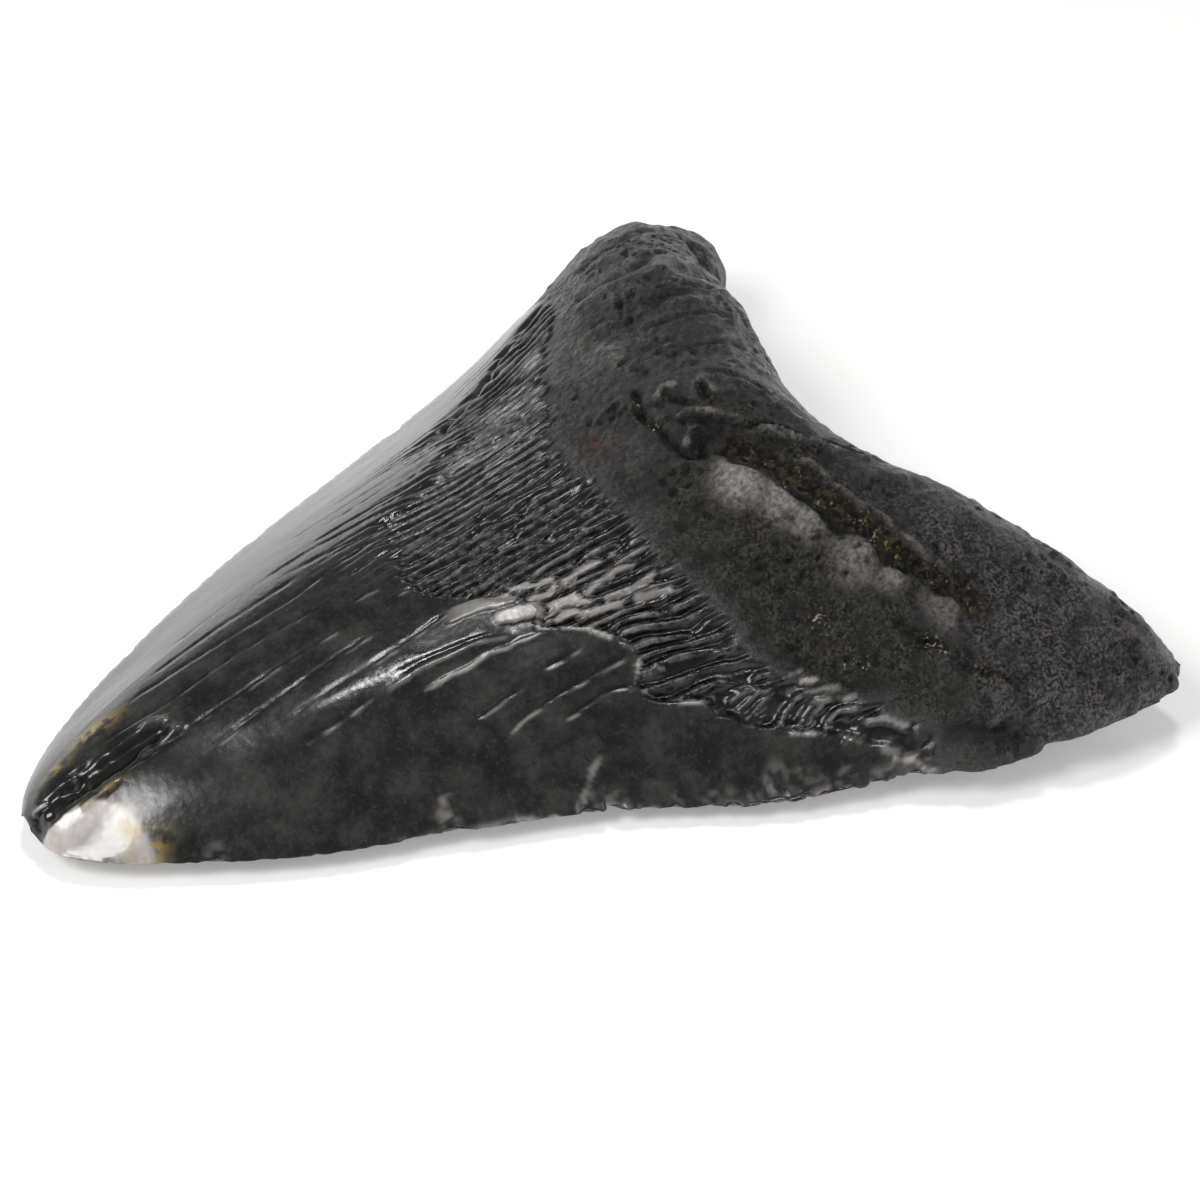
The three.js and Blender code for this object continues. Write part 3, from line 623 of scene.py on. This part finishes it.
painted_shade, pale_and_highlight, glint, hollow, blade = (np.zeros(count) for _ in range(5))
hollow_distances = [follow(line, strayed(0.45, 0.3))[0] for _, _, line in HOLLOWS]
for (width, _, _), distance in zip(HOLLOWS, hollow_distances):
    hollow = np.maximum(hollow, smoothstep(width * 1.25, width * 0.6, distance) * lingual)
for width, light, line in BLADES:
    distance = follow(line, strayed(0.3, 0.2))[0]
    plateau = smoothstep(width * 1.1, width * 0.75, distance) * lingual
    rim = np.exp(-(((distance - width - 0.15) / 0.2) ** 2)) * lingual
    blade = np.maximum(blade, plateau)
    # a dark ring round each blade is painted shade
    painted_shade = np.maximum(painted_shade, 0.9 * rim * smoothstep(60, 64, x))
    pale_and_highlight = np.maximum(pale_and_highlight, light * smoothstep(0.1, 0.9, plateau) * smoothstep(55, 60, x))
painted_shade *= (1 - blade) * lingual
height = -ENAMEL_STEP * peeled * smoothstep(14, -2, into_root)
height += RIDGE_HEIGHT * band * (ridges - 0.65) * (1 - hollow) * (1 - blade)
height -= LONG_GROOVE_DEPTH * long_grooves * (1 - peeled) * smoothstep(0.35, 0.0, np.clip(profile, 0, 1))
height *= lingual
height += BLADE_HEIGHT * blade
# lip of lifted enamel along the ledge
ledge_distance = follow([(at, place) for place, at in ENAMEL_END], plan)[0]
lip = np.exp(-(((ledge_distance - 0.2) / 0.18) ** 2)) * (beyond < 0.2) * smoothstep(-10, -16, y) * lingual
lip *= smoothstep(-0.15, 0.2, fine.smooth(points + 3, 2.6))
height += LIP_HEIGHT * lip
# the lip is painted pale: a worn edge with a painted highlight
pale_and_highlight = np.maximum(pale_and_highlight, 0.75 * lip)

# Bone of the root: lumps, wrinkles, grain and pores
below = x - curve(LABIAL_ROOT_START, y) + 0.8 * fine.smooth(points, 3)
root_mask = np.where(lingual, smoothstep(-1.5, 4, into_root + 1.5 * ragged), smoothstep(-0.6, 0.6, below))
lumps = rough.layered(points, 10, 2)
wrinkles = rough.smooth(points + 17, (2.2, 3.6, 3.0))
grain = fine.layered(points + 5, 1.5, 2)
porous = smoothstep(-0.25, 0.35, rough.smooth(points + 60, 9))
pores = smoothstep(0.4, 0.15, fine.cells(points + 0.5 * warp.sum(axis=1)[:, None], 1.7)) * porous
bone = LUMP_HEIGHT * lumps + WRINKLE_HEIGHT * wrinkles + (0.1 + 0.12 * porous) * grain - PORE_DEPTH * pores
height += np.where(lingual, 1.0, 0.5) * root_mask * bone

# Enamel: long shallow waves down the crown, the flat far flank, the keel and the broken tip
enamel_mask = np.where(lingual, 1 - peeled, 1 - root_mask) * (1 - root_mask)
waves = rough.smooth(points * (0.12, 1, 1) + 9, 5.0)
height += enamel_mask * (mix(0.08, 0.04, far_side) * waves + 0.005 * fine.smooth(points, 1.4))
flank = 4 * np.clip(t - FLANK_START, 0, 1) * (1 - t) / (1 - FLANK_START) ** 2
height -= FLANK_DEPTH * flank * smoothstep(0.03, 0.2, s) * smoothstep(0.8, 0.62, s) * lingual
keel, share_of_keel, _ = follow(KEEL, strayed(0.2))
keel_fade = smoothstep(0, 0.3, share_of_keel) * smoothstep(1, 0.85, share_of_keel) * lingual
height += KEEL_HEIGHT * np.exp(-np.sqrt(keel**2 + 1.6) / 3.2) * keel_fade
broken = smoothstep(2.2, 1.2, follow(BROKEN_TIP, strayed(0.3))[0]) * lingual
height += broken * (0.26 * fine.smooth(points + 2, 1.6) + 0.08 * fine.smooth(points + 7, 0.8))

# Hollows, grooves, folds, the seam, ribs and lumps
for (width, depth, _), distance in zip(HOLLOWS, hollow_distances):
    dip = smoothstep(width * 1.3, width * 0.3, distance) * lingual
    height -= depth * dip
    # the inside of each hollow is painted with shade
    painted_shade = np.maximum(painted_shade, 0.9 * smoothstep(0.1, 0.6, dip))
painted_groove_highlight = np.zeros(count)
for light, line in GROOVES:
    distance, share, side = follow(line, strayed(0.1, 0.05))
    taper = tapered(share, 0.1) * lingual
    uneven = np.clip(0.75 + 0.8 * fine.smooth(points + line[0][0], 1.9), 0.05, 1.4)
    trench = np.exp(-((distance / GROOVE_HALF_WIDTH) ** 2)) * taper * uneven
    height -= GROOVE_DEPTH * trench
    # the floor of each groove is painted with shade
    painted_shade = np.maximum(painted_shade, trench)
    # the lower side of each groove is painted light, as a highlight
    lower_side = np.exp(-(((distance - 0.36) / 0.19) ** 2)) * (side < 0) * taper
    shown = smoothstep(-0.2, 0.5, fine.smooth(points + line[0][1], 2.2))
    painted_groove_highlight = np.maximum(painted_groove_highlight, light * lower_side * shown)
for width, depth, lip_height, line in FOLDS:
    raised, trench = cut(width, depth, lip_height, line, strayed(0.3, 0.15))
    height += np.where(lingual, raised, 0)
    # the trenches of folds and cracks are painted with shade
    painted_shade = np.maximum(painted_shade, np.where(lingual, trench, 0))
distance, share, _ = follow(SEAM, strayed(0.5, 0.4))
mineral = smoothstep(1.9, 0.9, distance) * tapered(share, 0.05) * lingual
height -= mineral * (1.0 + 0.5 * fine.smooth(points + 8, 1.6) + 0.4 * fine.smooth(points + 4, 0.9))
for width, lift, light, line in RIBS:
    distance, share, _ = follow(line, strayed(0.18, 0.08))
    rib = np.exp(-((distance / width) ** 2)) * tapered(share, 0.12) * lingual
    rib *= np.clip(0.9 + 0.5 * fine.smooth(points + line[0][0], 2.4), 0.4, 1.3)
    height += lift * rib
    shown = smoothstep(0.35, 0.9, rib)
    painted_shade, mineral = painted_shade * (1 - shown), mineral * (1 - shown)
    # each rib is painted light: partly wear, partly a painted highlight
    pale_and_highlight = np.maximum(pale_and_highlight, light * shown)
for at in GLINTS:
    glint = np.maximum(glint, spot(x, y, at, GLINT_SIZE) * lingual)
for at, size, lump in LUMPS:
    height += np.where(lingual, lump * spot(x, y, at, size), 0)

# All of it dies out at the very tip and is thin at the cutting edges
edge_calm = np.where(s < 0.8, 1 - np.abs(t) ** 14, 1)
height *= mix(edge_calm, 1, smoothstep(0.76, 0.86, s)) * smoothstep(0, 0.02, s)
chipped = np.zeros(count)
for x_at, y_at, radius in CHIPS:
    scoop = np.exp(-(((x - x_at) ** 2 + (y - y_at) ** 2) / radius**2) ** 1.5)
    scoop *= lingual | (np.abs(t) > 0.98)
    height -= CHIP_DEPTH * radius * scoop
    chipped = np.maximum(chipped, scoop)
moved = points + normals * height[:, None]
over = np.maximum(moved[:, 2] - CEILING, 0)
moved[:, 2] = np.clip(moved[:, 2], 0, CEILING) + CEILING_GIVE * np.tanh(over / CEILING_GIVE)
offset = np.array([cad_low.x * 1000, ROW_OFFSET_Y, 0])

mesh = bpy.data.meshes.new("fossil_tooth")
mesh.from_pydata(((moved + offset) / 1000).tolist(), [], triangles.tolist() + quads.tolist())
mesh.validate()
mesh.shade_smooth()
tooth = bpy.data.objects.new("fossil_tooth", mesh)
bpy.context.scene.collection.objects.link(tooth)

# Fields that only colour and gloss use
crest = np.clip(height - rough.smooth(points, 6) * 0.2, -1, 1)
facet_distance, _, side = follow(FACET_EDGE, strayed(0.35))
inside = facet_distance * -side
facet = smoothstep(0, 0.35 + 0.3 * np.clip(x - 7, 0, 6), inside) * (x < 20) * (s < 0.3)
facet *= 1 - smoothstep(8.5, 13.5, x + 1.5 * rough.smooth(points + 3, 3))
keel_polish = np.exp(-((keel / 2.0) ** 2)) * smoothstep(0.26, 0.4, share_of_keel) * keel_fade
polish = np.maximum(np.maximum(0.75 * far_side, keel_polish), np.maximum(0.6 * facet, PLAIN_POLISH))
polish *= 1 - root_mask
# the worn facet at the tip is painted pale as its reflection, brightest near its edge
pale_and_highlight = np.maximum(pale_and_highlight, facet * mix(0.4, 1.0, smoothstep(6, 1.5, inside)))
for at, size, strength in PALE_LUMPS:
    lobe = np.exp(-((((x - at[0]) / size[0]) ** 2 + ((y - at[1]) / size[1]) ** 2) ** 2))
    pale_and_highlight = np.maximum(pale_and_highlight, strength * lobe * smoothstep(0.3, 0, painted_shade + mineral))
# the rims of the chips and a broken line along the near cutting edge are painted pale as highlights
chip_rim = 4 * chipped * (1 - chipped) * smoothstep(-0.25, 0.2, fine.smooth(points + 6, 1.2))
pale_and_highlight = np.maximum(pale_and_highlight, 0.13 * chip_rim * lingual)
edge_line = np.exp(-(((1 - np.abs(t)) / 0.012) ** 2)) * (t < 0) * lingual
edge_line *= smoothstep(0.3, 0.45, s) * smoothstep(0.78, 0.7, s)
edge_line *= smoothstep(0.0, 0.4, fine.smooth(points + 12, 3.0))
pale_and_highlight = np.maximum(pale_and_highlight, np.maximum(0.6 * edge_line, 0.62 * painted_groove_highlight))
stain, strand_pale_and_sheen = np.zeros(count), np.zeros(count)
for at, size, strength in STAINS:
    stain = np.maximum(stain, strength * spot(x, y, at, size))
for at, size, strength in PALE_AND_SHEEN_STRANDS:
    strand_pale_and_sheen = np.maximum(strand_pale_and_sheen, strength * spot(x, y, at, size))
beads = smoothstep(-0.5, 0.25, fine.smooth(on_band + 50, (0.9, 1.6, 1)))
# the crests of the band's strands are painted pale: pale dentine near the enamel, painted sheen on the far
# side
pale_and_highlight = np.maximum(pale_and_highlight, band * smoothstep(0.66, 1.0, ridges) * strand_pale_and_sheen * mix(beads, 1, far_side))
# how light the bone is painted, as light and shade: least on the far lobe, most on the near lobe as sheen
wear_and_painted_light = mix(0.45, 0.13, smoothstep(4, 30, y) * smoothstep(99, 107, x))
wear_and_painted_light = mix(wear_and_painted_light, 1, smoothstep(-24, -44, y) * smoothstep(106, 116, x))
# painted shade towards the far side and beside the cracks where the crown meets the root
wear_and_painted_light *= mix(0.75, 1, smoothstep(-8, -20, y))
wear_and_painted_light *= 1 - 0.7 * spot(x, y, (95, 4), (6, 12))
FIELDS = {
    "wear_and_painted_light": wear_and_painted_light,
    "band": band * lingual,
    "root": root_mask,
    "painted_shade": painted_shade,
    "mineral": mineral,
    "pale_and_highlight": pale_and_highlight * lingual,
    "stain": stain,
    "crest": crest,
    "pores": pores * root_mask,
    "ridge": np.clip(ridges, 0, 1) * (1 - hollow) * band * lingual,
    "glint": glint,
    "rust": spot(x, y, (87, 2), (3, 3)) * root_mask,
    "earth": smoothstep(112, 104, x) * root_mask,
    "polish": polish,
}
for name, values in FIELDS.items():
    layer = mesh.attributes.new(name, "FLOAT", "POINT")
    layer.data.foreach_set("value", np.asarray(values, np.float32))

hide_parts("tooth")
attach(tooth, "root")


def add(tree, kind, inputs=None, **settings):
    """New node with its settings, its input values and its links."""
    node = tree.nodes.new("ShaderNode" + kind)
    for key, value in settings.items():
        setattr(node, key, value)
    for key, value in (inputs or {}).items():
        if isinstance(value, bpy.types.NodeSocket):
            tree.links.new(value, node.inputs[key])
        else:
            node.inputs[key].default_value = value
    return node


def eased(tree, value, start, stop, low=0.0, high=1.0):
    """Smooth step of a value from start to stop, giving low to high."""
    limits = {"Value": value, "From Min": start, "From Max": stop, "To Min": low, "To Max": high}
    return add(tree, "MapRange", limits, interpolation_type="SMOOTHSTEP").outputs[0]


def calculated(tree, operation, a, b):
    return add(tree, "Math", {0: a, 1: b}, operation=operation).outputs[0]


def fossil_material():
    """One shader for the whole fossil; the mesh's fields say where each surface shows."""
    material = bpy.data.materials.new("fossil")
    material.use_nodes = True
    tree = material.node_tree
    shader = tree.nodes["Principled BSDF"]
    place = add(tree, "TexCoord").outputs["Object"]

    def field(name):
        return add(tree, "Attribute", attribute_name=name).outputs["Fac"]

    def noise(scale, detail=3, roughness=0.55):
        inputs = {"Vector": place, "Scale": scale, "Detail": detail, "Roughness": roughness}
        return add(tree, "TexNoise", inputs).outputs["Fac"]

    def ramp(value, *limits):
        return eased(tree, value, *limits)

    def times(a, b):
        return calculated(tree, "MULTIPLY", a, b)

    def blend(a, b, factor):
        """Mix of two colours, each a link or red, green and blue."""
        a, b = (value if isinstance(value, bpy.types.NodeSocket) else (*value, 1) for value in (a, b))
        return add(tree, "Mix", {0: factor, 6: a, 7: b}, data_type="RGBA").outputs[2]

    def blend_value(a, b, factor):
        return add(tree, "Mix", {0: factor, 2: a, 3: b}, data_type="FLOAT").outputs[0]

    enamel = blend(ENAMEL_BLACK, ENAMEL_CLOUD, ramp(noise(170, 8, 0.78), 0.4, 0.68))
    enamel = blend(enamel, ENAMEL_SPECK, times(ramp(noise(1500, 3, 0.7), 0.52, 0.72), 0.3))

    bone_light = blend(BONE_GREY, BONE_EARTH, field("earth"))
    # painted light and shade across the bone, from the mesh field
    bone_light = blend(BONE_BLACK, bone_light, field("wear_and_painted_light"))
    bone = blend(BONE_BLACK, bone_light, ramp(noise(2200, 2, 0.6), 0.4, 0.62))
    bone = blend(BONE_SHADE, bone, ramp(noise(260, 5, 0.7), 0.38, 0.6, 0.2, 1.0))
    bone = blend(bone, BONE_RED, times(ramp(noise(300, 3), 0.62, 0.74), 0.4))
    bone = blend(bone, RUST, times(field("rust"), ramp(noise(900, 3), 0.48, 0.62)))
    # raised crests of the bone are lighter: partly wear, partly painted light
    worn_and_lit_crests = times(ramp(field("crest"), 0.1, 0.9), ramp(noise(800, 4, 0.7), 0.46, 0.6))
    bone = blend(bone, BONE_CREST_WORN_AND_LIT, worn_and_lit_crests)

    strand = blend(STRAND_DARK, STRAND_LIGHT, ramp(noise(1200, 4, 0.7), 0.44, 0.6))
    # the valleys between the band's ridges are painted nearly black as shade
    strands_and_valley_shade = blend(PAINTED_VALLEY_SHADE, strand, ramp(field("ridge"), 0.52, 0.9))

    colour = blend(enamel, bone, field("root"))
    colour = blend(colour, strands_and_valley_shade, field("band"))
    crumbled_enamel = ramp(noise(900, 5, 0.7), 0.38, 0.6, 0.85, 1.0)
    crumbled_bone = ramp(noise(1400, 3, 0.7), 0.4, 0.6, 0.35, 0.95)
    crumbled = blend_value(crumbled_enamel, crumbled_bone, field("root"))
    # pale material, and highlights painted as pale colour, broken up by noise
    colour = blend(colour, PALE_AND_HIGHLIGHT, times(field("pale_and_highlight"), crumbled))
    crumbs = blend(CRUMB_DARK, CRUMB_BROWN, ramp(noise(800, 4, 0.7), 0.48, 0.6))
    colour = blend(colour, crumbs, field("mineral"))
    colour = blend(colour, MINERAL_YELLOW, times(field("mineral"), ramp(noise(1300, 2), 0.645, 0.69)))
    colour = blend(colour, STAIN_YELLOW, times(field("stain"), ramp(noise(450, 4), 0.4, 0.54)))
    # the pores are painted dark, as shade inside them
    colour = blend(colour, BONE_BLACK, times(field("pores"), 0.85))
    # painted shade, nearly black, in hollows, grooves, trenches and round the blades
    colour = blend(colour, PAINTED_SHADE_BLACK, times(field("painted_shade"), 0.95))
    colour = blend(colour, GLINT, times(field("glint"), ramp(noise(1900, 1), 0.6, 0.66)))
    tree.links.new(colour, shader.inputs["Base Color"])

    plain_gloss = ramp(noise(160, 3), 0.3, 0.7, 0.22, 0.32)
    polished_gloss = ramp(noise(220, 4), 0.3, 0.7, 0.09, 0.17)
    gloss = blend_value(plain_gloss, polished_gloss, field("polish"))
    gloss = blend_value(gloss, ramp(noise(500, 4), 0.3, 0.7, 0.13, 0.34), field("root"))
    gloss = blend_value(gloss, ramp(noise(600, 3), 0.3, 0.7, 0.2, 0.34), field("band"))
    tree.links.new(gloss, shader.inputs["Roughness"])
    shader.inputs["IOR"].default_value = ENAMEL_IOR

    scattered = {"Vector": place, "Scale": 1050.0, "Randomness": 1.0}
    holes = add(tree, "TexVoronoi", scattered, feature="SMOOTH_F1").outputs["Distance"]
    grains = calculated(tree, "SUBTRACT", noise(1000, 5, 0.75), holes)
    grained = calculated(tree, "MAXIMUM", field("root"), times(field("band"), 0.05))
    pitted = times(grains, ramp(grained, 0, 1, 0.02, 1.0))
    bump = add(tree, "Bump", {"Strength": 1.0, "Distance": GRAIN_DEPTH, "Height": pitted})
    tree.links.new(bump.outputs["Normal"], shader.inputs["Normal"])
    return material


def white_floor():
    """Plain white floor just under the tooth, with a little light of its own."""
    half = FLOOR_HALF
    floor_mesh = bpy.data.meshes.new("floor")
    floor_mesh.from_pydata([(-half, -half, 0), (half, -half, 0), (half, half, 0), (-half, half, 0)], [],
                           [(0, 1, 2, 3)])
    floor = bpy.data.objects.new("floor", floor_mesh)
    floor.location.z = -FLOOR_GAP
    bpy.context.scene.collection.objects.link(floor)
    white = bpy.data.materials.new("floor_white")
    white.use_nodes = True
    paper = white.node_tree.nodes["Principled BSDF"].inputs
    paper["Base Color"].default_value = FLOOR_WHITE
    paper["Roughness"].default_value = 0.9
    paper["Emission Color"].default_value = (1, 1, 1, 1)
    paper["Emission Strength"].default_value = FLOOR_GLOW
    floor_mesh.materials.append(white)
    return floor


def studio_world():
    """Even dim surroundings, with a low white glow behind the tooth that fades towards the right."""
    world = bpy.data.worlds.new("studio")
    world.use_nodes = True
    sky = world.node_tree
    direction = add(sky, "TexCoord").outputs["Generated"]
    axes = add(sky, "SeparateXYZ", {"Vector": direction}).outputs
    low_down = eased(sky, axes["Z"], 0.2, 0.38, 1, 0)
    behind = eased(sky, axes["Y"], 0.1, 0.6, 0, 1.6)
    leftward = eased(sky, axes["X"], 0.2, 0.36, 1, 0.12)
    glow = calculated(sky, "MULTIPLY", calculated(sky, "MULTIPLY", low_down, behind), leftward)
    surroundings = sky.nodes["Background"].inputs
    sky.links.new(calculated(sky, "ADD", glow, WORLD_LIGHT), surroundings["Strength"])
    surroundings["Color"].default_value = (1, 1, 1, 1)
    return world


def softbox(name, toward, distance, size, radiance):
    """Rectangular area light in a direction from the object, with the radiance that its face shows."""
    lamp = bpy.data.lights.new(name, "AREA")
    lamp.shape = "RECTANGLE"
    lamp.size, lamp.size_y = size
    lamp.energy = radiance * math.pi * size[0] * size[1]
    holder = bpy.data.objects.new(name, lamp)
    aim = Vector(toward).normalized()
    holder.location = Vector(LIT_POINT) + aim * distance
    holder.rotation_mode = "QUATERNION"
    holder.rotation_quaternion = aim.to_track_quat("Z", "Y")
    bpy.context.scene.collection.objects.link(holder)


def photo_camera():
    """Camera at the photo's angle, aimed at the middle of its frame."""
    level = math.cos(CAMERA_ELEVATION)
    back = Vector((math.sin(CAMERA_AZIMUTH) * level, -math.cos(CAMERA_AZIMUTH) * level,
                   math.sin(CAMERA_ELEVATION)))
    camera_data = bpy.data.cameras.new("camera")
    camera_data.sensor_width = 36
    camera_data.lens = CAMERA_LENS
    camera_data.clip_start = 0.01
    camera = bpy.data.objects.new("camera", camera_data)
    camera.location = Vector(CAMERA_TARGET) + back * CAMERA_DISTANCE
    camera.rotation_mode = "QUATERNION"
    camera.rotation_quaternion = back.to_track_quat("Z", "Y")
    bpy.context.scene.collection.objects.link(camera)
    return camera


mesh.materials.append(fossil_material())
white_floor()
bpy.context.scene.world = studio_world()
for box in SOFTBOXES:
    softbox(*box)
bpy.context.scene.camera = photo_camera()
bpy.context.scene.view_settings.view_transform = "Standard"
